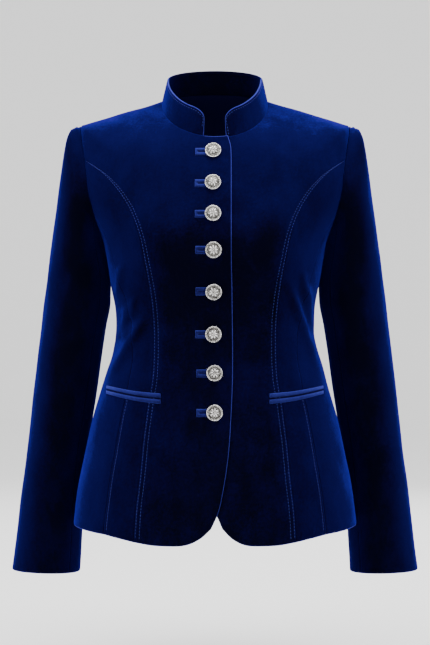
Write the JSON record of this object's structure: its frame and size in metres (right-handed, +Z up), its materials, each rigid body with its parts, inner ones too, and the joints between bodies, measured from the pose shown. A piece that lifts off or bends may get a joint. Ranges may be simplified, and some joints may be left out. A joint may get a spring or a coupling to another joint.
{
  "type": "trachten jacket",
  "caption": "Fitted women's velvet jacket with stand collar, princess seams, jetted pockets, two-piece sleeves and domed metal buttons, filled out as worn with no wearer",
  "frame": {"origin": "on the centre line at the height where the shoulder seams meet the neck, where the wearer's neck and shoulders hold the jacket", "axes": "+Z up, the front faces -Y, +X is the wearer's left"},
  "size_m": [0.571, 0.2616, 0.7047],
  "materials": {
    "velvet": "short-pile cotton velvet, royal navy, near black face on and bright blue at a grazing angle",
    "velvet_trim": "the same velvet folded into narrow strips, so that the pile catches the light",
    "antique_silver": "cast button metal, silver plated, dark patina in the hollows"
  },
  "bodies": {
    "root": {"right_front": "velvet", "left_front": "velvet", "right_side_front": "velvet", "left_side_front": "velvet", "right_side": "velvet", "left_side": "velvet", "right_back": "velvet", "left_back": "velvet", "collar": "velvet", "right_upper_sleeve": "velvet", "right_under_sleeve": "velvet", "left_upper_sleeve": "velvet", "left_under_sleeve": "velvet", "right_pocket_upper_welt": "velvet_trim", "right_pocket_lower_welt": "velvet_trim", "left_pocket_upper_welt": "velvet_trim", "left_pocket_lower_welt": "velvet_trim", "buttonhole_1": "velvet_trim", "buttonhole_2": "velvet_trim", "buttonhole_3": "velvet_trim", "buttonhole_4": "velvet_trim", "buttonhole_5": "velvet_trim", "buttonhole_6": "velvet_trim", "buttonhole_7": "velvet_trim", "buttonhole_8": "velvet_trim", "button_1": "antique_silver", "button_2": "antique_silver", "button_3": "antique_silver", "button_4": "antique_silver", "button_5": "antique_silver", "button_6": "antique_silver", "button_7": "antique_silver", "button_8": "antique_silver"}
  },
  "joints": []
}
